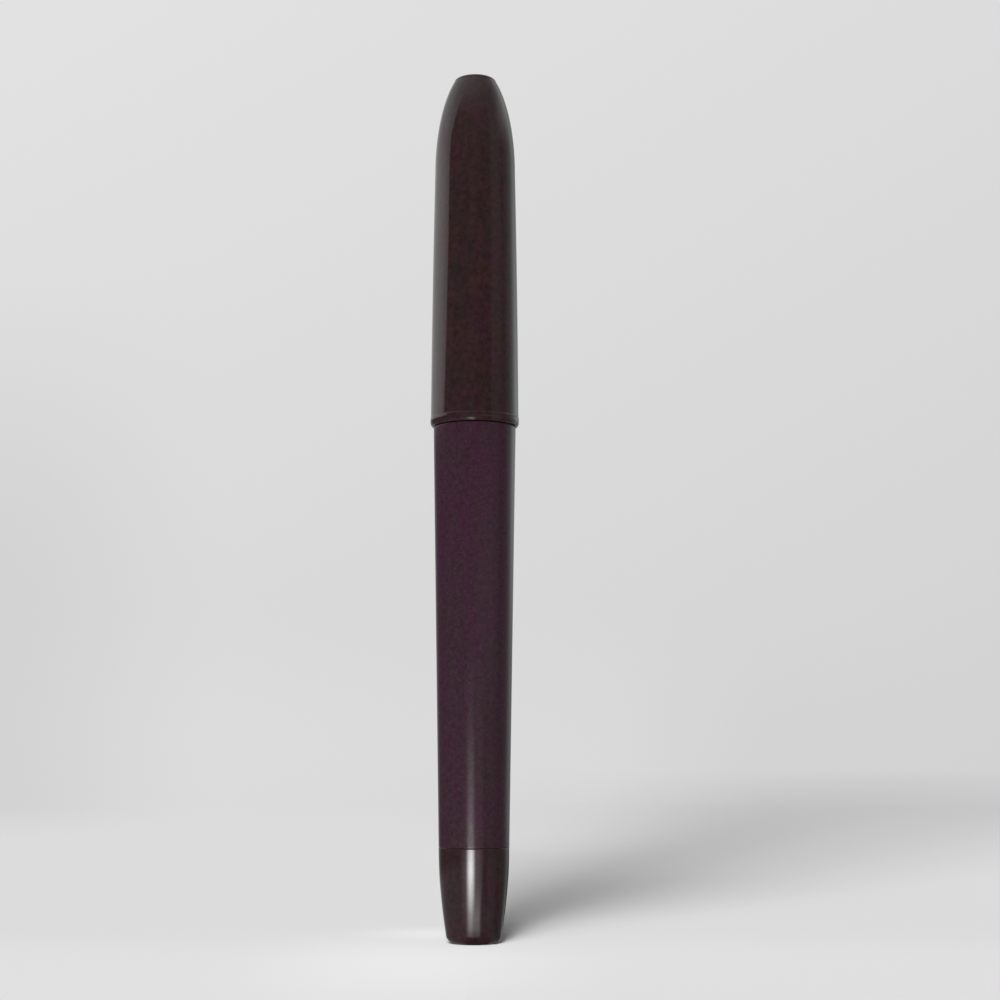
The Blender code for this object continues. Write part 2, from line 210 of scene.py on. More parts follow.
def joinInto(piece, extras):
    deselectAll()
    for extra in extras:
        extra.select_set(True)
    piece.select_set(True)
    bpy.context.view_layer.objects.active = piece
    bpy.ops.object.join()


def giveFinish(piece, slot):
    piece.data.materials.clear()
    piece.data.materials.append(finishes[slot])


def dress(piece, body, node, slot):
    giveFinish(piece, slot)
    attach(piece, body)
    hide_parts(node)
    print("made", piece.name, len(piece.data.polygons), "faces")


# Node helpers: each finds its tree through a socket that it is given
def link(source, target):
    source.id_data.links.new(source, target)


def feed(socket, value):
    if isinstance(value, bpy.types.NodeSocket):
        link(value, socket)
    else:
        socket.default_value = value


def addNode(tree, kind, **settings):
    node = tree.nodes.new("ShaderNode" + kind)
    for key, value in settings.items():
        setattr(node, key, value)
    return node


def fedNode(kind, *values, **settings):
    # A node whose first inputs take sockets or plain values
    sockets = [value for value in values if isinstance(value, bpy.types.NodeSocket)]
    node = addNode(sockets[0].id_data, kind, **settings)
    for socket, value in zip(node.inputs, values):
        feed(socket, value)
    return node


def setInputs(node, **values):
    # An input's name has _ for each space
    for key, value in values.items():
        feed(node.inputs[key.replace("_", " ")], value)


def maths(operation, first, second=0):
    return fedNode("Math", first, second, operation=operation).outputs[0]


def plus(first, *others):
    for other in others:
        first = maths("ADD", first, other)
    return first


def minus(first, second):
    return maths("SUBTRACT", first, second)


def times(first, *others):
    for other in others:
        first = maths("MULTIPLY", first, other)
    return first


def ramp(value, low, high, first=0, last=1):
    return fedNode("MapRange", value, low, high, first, last).outputs["Result"]


def ease(value, low, high, first=0, last=1):
    # The same, with soft ends
    node = fedNode("MapRange", value, low, high, first, last, interpolation_type="SMOOTHSTEP")
    return node.outputs["Result"]


def steps(value, stops, low, high, kind="LINEAR"):
    # A curve through (place, height) stops, read at the value
    node = fedNode("ValToRGB", ramp(value, low, high))
    band = node.color_ramp
    band.interpolation = kind
    while len(band.elements) < len(stops):
        band.elements.new(0.5)
    for element, (place, height) in zip(band.elements, stops):
        element.position = (place - low) / (high - low)
        element.color = (height, height, height, 1)
    return node.outputs["Color"]


def farSteps(distance, stops, kind="LINEAR"):
    # The same over a distance, with the stops spread by its logarithm
    stops = [(math.log10(place), height) for place, height in stops]
    return steps(maths("LOGARITHM", distance, 10), stops, stops[0][0], stops[-1][0], kind)


def stretched(vector, scale, turn=(0, 0, 0)):
    return fedNode("Mapping", vector, (0, 0, 0), turn, scale).outputs["Vector"]


def lengthOf(vector):
    return fedNode("VectorMath", vector, operation="LENGTH").outputs["Value"]


def wayOf(vector):
    return fedNode("VectorMath", vector, operation="NORMALIZE").outputs["Vector"]


def noise(vector, scale, detail, rough):
    node = addNode(vector.id_data, "TexNoise")
    setInputs(node, Vector=vector, Scale=scale, Detail=detail, Roughness=rough)
    return node.outputs["Fac"]


def mixColour(factor, first, second):
    node = addNode(factor.id_data, "Mix", data_type="RGBA")
    for index, value in ((0, factor), (6, first), (7, second)):
        feed(node.inputs[index], (*value, 1) if isinstance(value, tuple) else value)
    return node.outputs[2]


def mixShader(factor, first, second):
    return fedNode("MixShader", factor, first, second).outputs[0]


def bumpOf(height, distance):
    node = addNode(height.id_data, "Bump")
    setInputs(node, Height=height, Distance=distance)
    return node.outputs["Normal"]


# Shared effects, as node groups that all read a Vector
def newGroup(name, inputs, masks, colours=()):
    group = bpy.data.node_groups.new(name, "ShaderNodeTree")
    group.interface.new_socket("Vector", in_out="INPUT", socket_type="NodeSocketVector")
    for label, value in inputs.items():
        socket = group.interface.new_socket(label, in_out="INPUT", socket_type="NodeSocketFloat")
        socket.default_value = value
    for labels, kind in ((masks, "NodeSocketFloat"), (colours, "NodeSocketColor")):
        for label in labels:
            group.interface.new_socket(label, in_out="OUTPUT", socket_type=kind)
    given = group.nodes.new("NodeGroupInput").outputs
    made = group.nodes.new("NodeGroupOutput").inputs
    return group, given, made


def useGroup(group, vector, **values):
    node = addNode(vector.id_data, "Group", node_tree=group)
    setInputs(node, Vector=vector, **values)
    return node.outputs


def buildMouldMottle():
    # Drawn-down streaks and cloudy patches in moulded plastic
    scales = {"Streak Scale": 900, "Patch Scale": 160}
    group, given, made = newGroup("mouldMottle", scales, ("Streaks", "Patches", "Grain"))
    vector = given["Vector"]
    streaks = noise(stretched(vector, (1, 1, 0.035)), given["Streak Scale"], 5, 0.6)
    patches = noise(stretched(vector, (1, 1, 0.3)), given["Patch Scale"], 3, 0.5)
    grain = noise(vector, 3200, 2, 0.5)
    link(ramp(streaks, 0.3, 0.7), made["Streaks"])
    link(ramp(patches, 0.32, 0.68), made["Patches"])
    link(grain, made["Grain"])
    return group


def cellsOf(given):
    # Cells of one size, each with a colour of its own
    cells = addNode(given["Vector"].id_data, "TexVoronoi")
    setInputs(cells, Vector=given["Vector"], Scale=given["Scale"])
    return cells.outputs["Distance"], fedNode("SeparateColor", cells.outputs["Color"]).outputs


def buildDust():
    # Sparse small specks that sit on the surface
    values = {"Scale": 420, "Amount": 0.05, "Size": 0.09}
    group, given, made = newGroup("dust", values, ("Specks",))
    distance, colour = cellsOf(given)
    near = maths("LESS_THAN", distance, given["Size"])
    chosen = maths("LESS_THAN", colour[0], given["Amount"])
    link(times(near, chosen), made["Specks"])
    return group


def buildPearl():
    # Fine metallic flakes in a lacquer: each flake has its own tint and lean
    group, given, made = newGroup("pearl", {"Scale": 5200}, ("Flakes", "Tint"))
    colour = cellsOf(given)[1]
    link(ramp(colour[0], 0.72, 1), made["Flakes"])
    link(colour[1], made["Tint"])
    return group


def buildHandling():
    # Hair-fine rub marks that cross the surface, broken up so that they come and go
    group, given, made = newGroup("handling", {"Scale": 260}, ("Marks",))
    leaning = stretched(given["Vector"], (1, 1, 0.06), (0.35, 0.2, 0.5))
    hairs = noise(leaning, given["Scale"], 6, 0.7)
    lines = ramp(maths("ABSOLUTE", minus(hairs, 0.5)), 0, 0.012, 1, 0)
    places = ramp(noise(given["Vector"], 240, 2, 0.5), 0.52, 0.66)
    link(times(lines, places), made["Marks"])
    return group


mouldMottle = buildMouldMottle()
dust = buildDust()
pearl = buildPearl()
handling = buildHandling()
print("effects built")


def newMaterial(name):
    finish = bpy.data.materials.new(name)
    finish.use_nodes = True
    place = addNode(finish.node_tree, "TexCoord").outputs["Object"]
    return finish, finish.node_tree.nodes["Principled BSDF"], place


def heightOf(place):
    return fedNode("SeparateXYZ", place).outputs["Z"]


def blotches(place, scale, detail, rough, band, share, tall=1):
    # Noise, drawn out along the pen where tall is below 1; a band of it gives the share
    if tall < 1.0:
        place = stretched(place, (1, 1, tall))
    return ramp(noise(place, scale, detail, rough), *band, *share)


# Cap and tail plug: glossy dark plum plastic
glossLook = {
    "dark": (0.032, 0.016, 0.017),
    "light": (0.045, 0.022, 0.0232),
    "warm": (0.047, 0.0196, 0.0176),
    "violet": (0.042, 0.015, 0.025),
    "neutral": (0.03, 0.0195, 0.0175),
    "pit": (0.011, 0.006, 0.006),
    "dustColour": (0.19, 0.16, 0.15),
    "streakScale": 620,
    "warmShare": 0.6,
    "violetClouds": {
        "tall": 0.6, "scale": 230, "detail": 3, "rough": 0.6,
        "band": (0.46, 0.62), "share": (-0.15, 0.6),
    },
    "violetByHeight": [
        (0, 0.55), (0.014, 0.55), (0.077, 0.45), (0.094, 0.1), (0.112, 0), (0.13, 0.2),
    ],
    "neutralBlots": {
        "tall": 0.45, "scale": 420, "detail": 4, "rough": 0.65,
        "band": (0.47, 0.6), "share": (0, 0.75),
    },
    "darkGrain": {
        "scale": 1200, "detail": 4, "rough": 0.75, "band": (0.4, 0.68), "share": (0, 0.6),
    },
    "pits": {"Scale": 760, "Amount": 0.05, "Size": 0.09},
    "pitShare": 0.8,
    "specks": {"Scale": 460, "Amount": 0.1, "Size": 0.065},
    "roughness": (0.075 * 0.8, 0.075 * 1.35),
    "speckRough": 0.4,
    "markRough": 0.1,
    "bump": 0.000001,
}


def makeGloss(name, look):
    finish, shader, place = newMaterial(name)
    mottle = useGroup(mouldMottle, place, Streak_Scale=look["streakScale"])
    specks = useGroup(dust, place, **look["specks"])["Specks"]
    marks = useGroup(handling, place)["Marks"]
    colour = mixColour(mottle["Streaks"], look["dark"], look["light"])
    colour = mixColour(times(mottle["Patches"], look["warmShare"]), colour, look["warm"])
    clouds = blotches(place, **look["violetClouds"])
    clouds = plus(clouds, steps(heightOf(place), look["violetByHeight"], 0, 0.14))
    colour = mixColour(clouds, colour, look["violet"])
    colour = mixColour(blotches(place, **look["neutralBlots"]), colour, look["neutral"])
    pits = times(useGroup(dust, place, **look["pits"])["Specks"], look["pitShare"])
    pits = maths("MAXIMUM", blotches(place, **look["darkGrain"]), pits)
    colour = mixColour(pits, colour, look["pit"])
    colour = mixColour(specks, colour, look["dustColour"])
    worn = plus(times(specks, look["speckRough"]), times(marks, look["markRough"]))
    rough = plus(ramp(mottle["Patches"], 0, 1, *look["roughness"]), worn)
    relief = plus(minus(plus(mottle["Grain"], mottle["Streaks"]), marks), specks)
    bump = bumpOf(relief, look["bump"])
    setInputs(shader, Base_Color=colour, Roughness=rough, IOR=1.5, Normal=bump)
    return finish


# Barrel: satin pearl lacquer over plastic
satinLook = {
    "upper": (0.044, 0.019, 0.0285),
    "lower": (0.0425, 0.024, 0.03),
    "violet": (0.058, 0.016, 0.04),
    "brown": (0.043, 0.026, 0.027),
    "shade": (0.03, 0.013, 0.02),
    "flake": (0.13, 0.085, 0.11),
    "patchScale": 320,
    "violetShare": 0.8,
    "brownBlots": {
        "tall": 0.5, "scale": 260, "detail": 4, "rough": 0.65,
        "band": (0.48, 0.6), "share": (0, 0.85),
    },
    "brownAtTop": 0.45,     # what is left of them up there
    "darkGrain": {
        "scale": 1500, "detail": 4, "rough": 0.75, "band": (0.4, 0.68), "share": (0, 0.85),
    },
    "flakeShare": 0.12,
    "roughness": (0.14 * 0.75, 0.14 * 1.25),
    "shine": 0.24,
    "bump": 0.0000006,
}


def makeSatin(name, look, low, high):
    finish, shader, place = newMaterial(name)
    mottle = useGroup(mouldMottle, place, Patch_Scale=look["patchScale"])
    flakes = useGroup(pearl, place)
    rise = ramp(heightOf(place), low, high)
    colour = mixColour(rise, look["lower"], look["upper"])
    colour = mixColour(times(mottle["Patches"], look["violetShare"]), colour, look["violet"])
    brown = times(blotches(place, **look["brownBlots"]), ramp(rise, 0.2, 1, 1, look["brownAtTop"]))
    colour = mixColour(brown, colour, look["brown"])
    colour = mixColour(blotches(place, **look["darkGrain"]), colour, look["shade"])
    colour = mixColour(times(flakes["Flakes"], look["flakeShare"]), colour, look["flake"])
    rough = ramp(flakes["Tint"], 0, 1, *look["roughness"])
    bump = bumpOf(plus(flakes["Tint"], mottle["Grain"]), look["bump"])
    setInputs(shader, Base_Color=colour, Roughness=rough, IOR=1.5, Normal=bump)
    setInputs(shader, Specular_IOR_Level=look["shine"])
    return finish


# Plain moulded plastics of the inner pieces
plasticLooks = {
    "natural": {"colour": (0.6, 0.585, 0.545), "roughness": 0.36, "scatter": 0.25},
    "white": {"colour": (0.72, 0.71, 0.68), "roughness": 0.34, "scatter": 0.12},
    "black": {"colour": (0.0135, 0.0125, 0.0135), "roughness": 0.28, "scatter": 0},
}
plasticGrain = {
    "scales": {"Streak_Scale": 1200, "Patch_Scale": 300},
    "shade": 0.82,              # what the patches leave of the colour
    "roughest": 1.2,            # along the streaks, as shares of the look's roughness
    "smoothest": 0.85,
    "markScale": 420,
    "markRough": 0.15,
    "bump": 0.000002,
    "scatterDepth": (0.0012, 0.001, 0.0008),
}


def makePlastic(name, look):
    finish, shader, place = newMaterial(name)
    grain = plasticGrain
    mottle = useGroup(mouldMottle, place, **grain["scales"])
    marks = useGroup(handling, place, Scale=grain["markScale"])["Marks"]
    shade = tuple(grain["shade"] * share for share in look["colour"])
    colour = mixColour(mottle["Patches"], look["colour"], shade)
    smoothest, roughest = (look["roughness"] * grain[end] for end in ("smoothest", "roughest"))
    rough = ramp(mottle["Streaks"], 0, 1, smoothest, roughest)
    rough = plus(rough, times(marks, grain["markRough"]))
    bump = bumpOf(mottle["Grain"], grain["bump"])
    setInputs(shader, Base_Color=colour, Roughness=rough, Normal=bump)
    setInputs(shader, Subsurface_Weight=look["scatter"], Subsurface_Radius=grain["scatterDepth"])
    return finish


feltLook = {
    "dark": (0.004, 0.0035, 0.004),
    "light": (0.02, 0.018, 0.019),
    "fibreScale": 9000,
    "fibreStretch": 0.12,
    "dampScale": 500,           # damper and smoother in places
    "dampBand": (0.35, 0.65),
    "roughness": (0.5, 0.85),
    "sheen": 0.15,
    "bump": 0.00002,
}


def makeFelt(name, look):
    finish, shader, place = newMaterial(name)
    fibres = noise(stretched(place, (1, 1, look["fibreStretch"])), look["fibreScale"], 3, 0.6)
    colour = mixColour(fibres, look["dark"], look["light"])
    damp = ramp(noise(place, look["dampScale"], 2, 0.5), *look["dampBand"], *look["roughness"])
    bump = bumpOf(fibres, look["bump"])
    setInputs(shader, Base_Color=colour, Roughness=damp, Sheen_Weight=look["sheen"], Normal=bump)
    return finish


rubberLook = {
    "first": (0.013, 0.013, 0.013), "second": (0.028, 0.027, 0.026), "patchScale": 600,
    "metal": 0, "roughness": (0.55, 0.75), "bump": 0.000006,
}
steelLook = {
    "first": (0.6, 0.6, 0.61), "second": (0.48, 0.48, 0.49), "patchScale": 900,
    "metal": 1, "roughness": (0.14, 0.26), "bump": 0.000002,
}


def makeGrained(name, look):
    finish, shader, place = newMaterial(name)
    mottle = useGroup(mouldMottle, place, Patch_Scale=look["patchScale"])
    colour = mixColour(mottle["Patches"], look["first"], look["second"])
    rough = ramp(mottle["Grain"], 0.3, 0.7, *look["roughness"])
    bump = bumpOf(mottle["Grain"], look["bump"])
    setInputs(shader, Base_Color=colour, Metallic=look["metal"], Roughness=rough, Normal=bump)
    return finish


barrelLow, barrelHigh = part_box("barrel")
finishes = {
    "gloss_plum": makeGloss("glossPlum", glossLook),
    "satin_plum": makeSatin("satinPlum", satinLook, barrelLow.z, barrelHigh.z),
    "natural_plastic": makePlastic("naturalPlastic", plasticLooks["natural"]),
    "white_plastic": makePlastic("whitePlastic", plasticLooks["white"]),
    "black_plastic": makePlastic("blackPlastic", plasticLooks["black"]),
    "black_felt": makeFelt("blackFelt", feltLook),
    "dark_rubber": makeGrained("darkRubber", rubberLook),
    "bright_steel": makeGrained("brightSteel", steelLook),
}
print("materials built")


# Cap: bullet nose, slightly bowed side, band at the lip; snap bead, stop ring and ribs inside
capLook = {
    "sides": 144,
    "lipRadius": 0.00667,
    "shoulderRadius": 0.00617,
    "sideBow": 0.00007,
    "noseLength": 0.0151,
    "crownCut": 0.00185,
    "crownEdgeHeight": 0.00066,
    "crownEdgeWidth": 0.0015,
    "crownDome": 0.00005,
    "bandHeight": 0.00125,
    "bandEdge": 0.00007,
    "lipRoundingHeight": 0.0008,
    "lipRoundingWidth": 0.0004,
    "lipInnerRounding": 0.0002,
    "wall": 0.0009,
    "crownWall": 0.0015,
    "snapHeight": 0.0027,
    "snapRadius": 0.00556,
    "snapWidth": 0.0009,
    "stopRadius": 0.0043,
    "stopThickness": 0.0008,
    "stopEdge": 0.00015,
    "ribs": 6,
    "ribRise": 0.0028,          # above the foot of the inner cap
    "ribBite": 0.00025,         # into the wall
    "ribRadius": 0.0043,
    "ribThickness": 0.0007,
    "ribLength": 0.0185,
}


def addRib(look, inner, outer, low):
    deselectAll()
    middle = (inner + outer) / 2
    bpy.ops.mesh.primitive_cube_add(size=1, location=(middle, 0, low + look["ribLength"] / 2))
    rib = bpy.context.object
    rib.scale = (outer - inner, look["ribThickness"], look["ribLength"])
    applyPlace()
    setMode("EDIT")
    bpy.ops.mesh.select_mode(type="EDGE")
    bpy.ops.mesh.select_all(action="DESELECT")
    setMode("OBJECT")
    for edge in rib.data.edges:
        ends = [rib.data.vertices[index].co for index in edge.vertices]
        edge.select = all(end.x < middle for end in ends)
    setMode("EDIT")
    bpy.ops.mesh.bevel(offset=look["ribThickness"] * 0.35, segments=3, affect="EDGES")
    setMode("OBJECT")
    bpy.ops.object.shade_smooth_by_angle(angle=smoothAngle)
    return rib


def makeCap(look):
    low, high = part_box("cap_shell")
    lip, crown = low.z, high.z
    bandRadius = high.x
    sideEnd = crown - look["noseLength"]
    reach = look["noseLength"] + look["crownCut"]
    crownAngle = math.degrees(math.asin((look["noseLength"] - look["crownEdgeHeight"]) / reach))
    nose = arcRings((0, sideEnd), look["shoulderRadius"], reach, crownAngle, 0, 30)
    crownMiddle = (nose[0][0] - look["crownEdgeWidth"], crown - look["crownEdgeHeight"])
    crownTall = look["crownEdgeHeight"] - look["crownDome"]
    rings = [(0, crown), (crownMiddle[0] * 0.5, crown - look["crownDome"] * 0.3)]
    rings += arcRings(crownMiddle, look["crownEdgeWidth"], crownTall, 90, 0, 9)[:-1]
    rings += nose
    bandTop = lip + look["bandHeight"]
    edge = look["bandEdge"]
    shoulder = (look["shoulderRadius"], sideEnd)
    sideFoot = (look["lipRadius"], bandTop + 1.6 * edge)
    rings += bowRings(shoulder, sideFoot, look["sideBow"], 18)[1:]
    rings += [(bandRadius - 0.35 * edge, bandTop + edge), (bandRadius, bandTop)]
    lipMiddle = (bandRadius - look["lipRoundingWidth"], lip + look["lipRoundingHeight"])
    rings += arcRings(lipMiddle, look["lipRoundingWidth"], look["lipRoundingHeight"], 0, -90, 12)
    lipBore = look["lipRadius"] - look["wall"]
    shoulderBore = look["shoulderRadius"] - look["wall"]
    inside = look["lipInnerRounding"]
    rings += arcRings((lipBore + inside, lip + inside), inside, inside, -90, -180, 4)
    snap = beadRings(lip + look["snapHeight"], lipBore, look["snapRadius"], look["snapWidth"])
    rings += list(reversed(snap))
    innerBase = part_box("inner_cap")[0].z

    def boreAt(height):
        return lipBore + (shoulderBore - lipBore) * (height - lip) / (sideEnd - lip)

    stopTop = innerBase - seatGap
    stopBase = stopTop - look["stopThickness"]
    stopBore, stop, stopEdge = boreAt(stopTop), look["stopRadius"], look["stopEdge"]
    rings += [(stopBore, stopBase - stopEdge), (stopBore - stopEdge, stopBase)]
    rings += [(stop + stopEdge, stopBase), (stop, stopBase + stopEdge)]
    rings += [(stop, stopTop - stopEdge), (stop + stopEdge, stopTop), (stopBore, stopTop)]
    innerReach = reach - look["crownWall"]
    ceiling = crown - look["crownWall"]
    ceilingAngle = math.degrees(math.asin((ceiling - sideEnd) / innerReach))
    rings += arcRings((0, sideEnd), shoulderBore, innerReach, 0, ceilingAngle, 14)
    rings += [(0, ceiling)]
    cap = turnPiece("cap", rings, look["sides"], closed=False)

    ribLow = innerBase + look["ribRise"]
    ribOuter = boreAt(ribLow) + look["ribBite"]
    ribs = []
    for index in range(look["ribs"]):
        rib = addRib(look, look["ribRadius"], ribOuter, ribLow)
        turn = -math.tau * (index + 0.5) / look["ribs"]
        bpy.ops.transform.rotate(value=turn, orient_axis="Z", center_override=(0, 0, 0))
        applyPlace()
        ribs.append(rib)
    joinInto(cap, ribs)
    dress(cap, "cap", "cap_shell", "gloss_plum")


makeCap(capLook)


# Barrel: the lacquered tube that is the tank
barrelLook = {
    "sides": 144,
    "tailRadius": 0.00524,
    "mouthRounding": 0.0002,
    "mouthReach": 0.00022,      # drawn up towards the cap's lip
    "seamRounding": 0.00006,
    "holdRing": 0.00008,        # keeps the shading of the side straight up to the roundings
    "seamReach": 0.00012,       # drawn down towards the tail plug
    "tankTailRadius": 0.0043,
    "tankLedgeRadius": 0.0045,
    "mouthBore": 0.00495,
    "boreEdge": 0.0001,
    "latchHeight": 0.0019,
    "latchRadius": 0.0047,
    "latchWidth": 0.0015,
}


def makeBarrel(look):
    low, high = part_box("barrel")
    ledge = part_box("front_seal")[0].z - seatGap
    rounding, edge, boreEdge = look["mouthRounding"], look["seamRounding"], look["boreEdge"]
    tank = look["tankTailRadius"]
    top = high.z + look["mouthReach"]
    tail = low.z - look["seamReach"]
    hold = look["holdRing"]
    rings = arcRings((high.x - rounding, top - rounding), rounding, rounding, 90, 0, 7)
    foot = (look["tailRadius"], tail + edge + hold)
    rings += bowRings((high.x, top - rounding - hold), foot, 0, 24)
    rings += arcRings((look["tailRadius"] - edge, tail + edge), edge, edge, 0, -90, 4)
    rings += [(tank + boreEdge, tail), (tank, tail + boreEdge)]
    latch = beadRings(low.z + look["latchHeight"], tank, look["latchRadius"], look["latchWidth"])
    rings += list(reversed(latch))
    rings += [
        (look["tankLedgeRadius"], ledge - boreEdge),
        (look["tankLedgeRadius"] + boreEdge, ledge),
        (look["mouthBore"], ledge),
        (look["mouthBore"], top - boreEdge),
        (look["mouthBore"] + boreEdge, top),
    ]
    barrel = turnPiece("barrelShell", rings, look["sides"], closed=True)
    dress(barrel, "pen", "barrel", "satin_plum")


makeBarrel(barrelLook)


# Tail plug: foot outside, spigot with its latch and seal groove inside the barrel
plugLook = {
    "sides": 144,
    "seam": 0.0138,
    "seamReach": 0.00013,       # collar drawn up towards the barrel
    "seamRounding": 0.00006,
    "holdRing": 0.00008,
    "holdSlope": 0.03,
    "collarRadius": 0.00524,
    "collarDraw": 0.00003,      # how much the collar draws in
    "collarHeight": 0.0016,
    "footRadius": 0.00412,
    "footRoundingWidth": 0.0016,
    "footRoundingHeight": 0.00133,
    "sideBow": 0.00019,
    "spigotRadius": 0.004,
    "spigotChamfer": 0.0005,
    "spigotRounding": 0.00012,
    "spigotFoot": 0.0001,
    "latchRise": 0.0004,
    "latchHeight": 0.0022,
    "latchWidth": 0.0009,
    "grooveHeight": 0.0062,
    "grooveHalf": 0.0006,
    "grooveRadius": 0.0033,
    "coreRadius": 0.0026,
    "coreRounding": 0.0008,
    "floor": 0.0032,
}


def makeTailPlug(look):
    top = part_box("tail_plug")[1].z
    seam = look["seam"]
    collarTop = seam + look["seamReach"]
    edge = look["seamRounding"]
    wide, tall = look["footRoundingWidth"], look["footRoundingHeight"]
    spigot, chamfer, foot = look["spigotRadius"], look["spigotChamfer"], look["spigotFoot"]
    groove = look["grooveRadius"]
    grooveTop = seam + look["grooveHeight"] + look["grooveHalf"]
    grooveBase = seam + look["grooveHeight"] - look["grooveHalf"]
    core, rounding = look["coreRadius"], look["coreRounding"]
    rings = [(0, look["floor"])]
    rings += arcRings((core - rounding, look["floor"] + rounding), rounding, rounding, -90, 0, 8)
    points = [
        (core, top - chamfer), (core + chamfer / 2, top),
        (spigot - chamfer, top), (spigot, top - chamfer),
        (spigot, grooveTop), (groove, grooveTop), (groove, grooveBase), (spigot, grooveBase),
    ]
    rings += roundedProfile(points, look["spigotRounding"], closed=False, count=2)
    latch = seam + look["latchHeight"]
    rings += beadRings(latch, spigot, spigot + look["latchRise"], look["latchWidth"])
    rings += [(spigot, collarTop + foot), (spigot + foot, collarTop)]
    rings += arcRings((look["collarRadius"] - edge, collarTop - edge), edge, edge, 90, 0, 4)
    hold = look["holdRing"]
    rings += [(look["collarRadius"] - hold * look["holdSlope"], collarTop - edge - hold)]
    collarFoot = look["collarRadius"] - look["collarDraw"]
    rings += bowRings(
        (collarFoot, seam - look["collarHeight"]), (look["footRadius"], tall), look["sideBow"], 18
    )
    rings += arcRings((look["footRadius"] - wide, tall), wide, tall, 0, -90, 16)[1:]
    rings += [(0, 0)]
    plug = turnPiece("tailPlug", rings, look["sides"], closed=False)
    dress(plug, "pen", "tail_plug", "gloss_plum")


makeTailPlug(plugLook)


# Front section: skirt in the barrel, neck that the cap snaps on, cone, seat of the inner cap, nose
frontLook = {
    "sides": 96,
    "rounding": 0.00012,
    "skirtRadius": 0.00465,
    "skirtBore": 0.0039,
    "skirtChamfer": 0.0003,
    "neckRadius": 0.00518,
    "neckLength": 0.0087,
    "neckRounding": 0.0003,
    "neckFoot": 0.001,
    "beadHeight": 0.0042,
    "beadRadius": 0.00536,
    "beadWidth": 0.0009,
    "coneBase": 0.0049,
    "coneTop": 0.004,
    "coneLength": 0.011,
    "coneBow": 0.0002,
    "seatRadius": 0.00315,
    "seatLength": 0.0038,
    "seatEdge": 0.0001,
    "noseBase": 0.0029,
    "noseTip": 0.00205,
    "noseEdge": 0.0003,
    "noseBore": 0.0016,
    "socketHeight": 0.0231,
    "socketRadius": 0.00225,
    "socketSlope": 0.0015,
}


def makeFrontSection(look):
    low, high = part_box("front_section")
    neckBase = barrelHigh.z + seatGap
    neckEnd = neckBase + look["neckLength"]
    coneEnd = neckEnd + look["coneLength"]
    seatEnd = coneEnd + look["seatLength"]
    edge, seatEdge = look["noseEdge"], look["seatEdge"]
    skirt, chamfer = look["skirtRadius"], look["skirtChamfer"]
    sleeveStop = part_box("nib_sleeve")[0].z - snapGap
    socketLow = low.z + look["socketHeight"]
    rings = arcRings((look["noseTip"] - edge, high.z - edge), edge, edge, 90, 0, 8)
    seatStep = look["seatRadius"] - look["noseBase"]
    rings += [(look["noseBase"], seatEnd)]
    rings += arcRings((look["noseBase"], seatEnd - seatStep), seatStep, seatStep, 75, 0, 5)
    rings += [(look["seatRadius"], coneEnd + seatEdge), (look["seatRadius"] + seatEdge, coneEnd)]
    rings += [(look["coneTop"] - seatEdge, coneEnd)]
    coneTop = (look["coneTop"], coneEnd - seatEdge)
    rings += bowRings(coneTop, (look["coneBase"], neckEnd), look["coneBow"], 14)
    corner = (look["neckRadius"] - look["neckRounding"], neckEnd - look["neckRounding"])
    rings += arcRings(corner, look["neckRounding"], look["neckRounding"], 90, 0, 5)
    bead = neckBase + look["beadHeight"]
    rings += beadRings(bead, look["neckRadius"], look["beadRadius"], look["beadWidth"])
    points = [
        (look["neckRadius"], neckBase + look["neckFoot"]),
        (look["neckRadius"], neckBase),
        (skirt, neckBase),
        (skirt, low.z + chamfer),
        (skirt - chamfer, low.z),
        (look["skirtBore"], low.z),
        (look["skirtBore"], socketLow),
        (look["socketRadius"], socketLow + look["socketSlope"]),
        (look["socketRadius"], sleeveStop),
        (look["noseBore"], sleeveStop),
        (look["noseBore"], high.z),
    ]
    rings += roundedProfile(points, look["rounding"], closed=False, count=2)
    front = turnPiece("frontSection", rings, look["sides"], closed=True)
    dress(front, "pen", "front_section", "black_plastic")


makeFrontSection(frontLook)


# Nib: a felt point, round to its shoulder and then drawn in to a fine tip
nibLook = {
    "sides": 48,
    "radius": 0.00095,
    "rootChamfer": 0.0002,
    "reach": 0.0075,            # out of the nose
    "shoulderShare": 0.12,
    "shoulderDrop": 0.001,
    "belly": 0.00007,
    "point": 0.00012,
}


def makeNib(look):
    low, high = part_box("nib")
    shoulder = high.z - look["reach"] * (1 - look["shoulderShare"])
    radius, chamfer, point = look["radius"], look["rootChamfer"], look["point"]
    rings = [(0, high.z)]
    rings += arcRings((0, high.z - point), point, point, 75, 8, 5)
    taper = bowRings((point, high.z - point), (radius, shoulder), look["belly"], 26)
    rings += taper[1:] + [(radius, shoulder - look["shoulderDrop"]), (radius, low.z + chamfer)]
    rings += [(radius - chamfer, low.z), (0, low.z)]
    nib = turnPiece("nibFelt", rings, look["sides"], closed=False)
    dress(nib, "pen", "nib", "black_felt")


makeNib(nibLook)


# Nib sleeve: a thin tube with its rim rolled at both ends
sleeveLook = {"sides": 64, "radius": 0.0014, "bore": 0.00115, "rim": 0.00008}


def makeSleeve(look):
    low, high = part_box("nib_sleeve")
    bore, radius = look["bore"], look["radius"]
    points = [(bore, high.z), (radius, high.z), (radius, low.z), (bore, low.z)]
    rings = roundedProfile(points, look["rim"], closed=True, count=4)
    sleeve = turnPiece("nibSleeve", rings, look["sides"], closed=True)
    dress(sleeve, "pen", "nib_sleeve", "natural_plastic")


makeSleeve(sleeveLook)


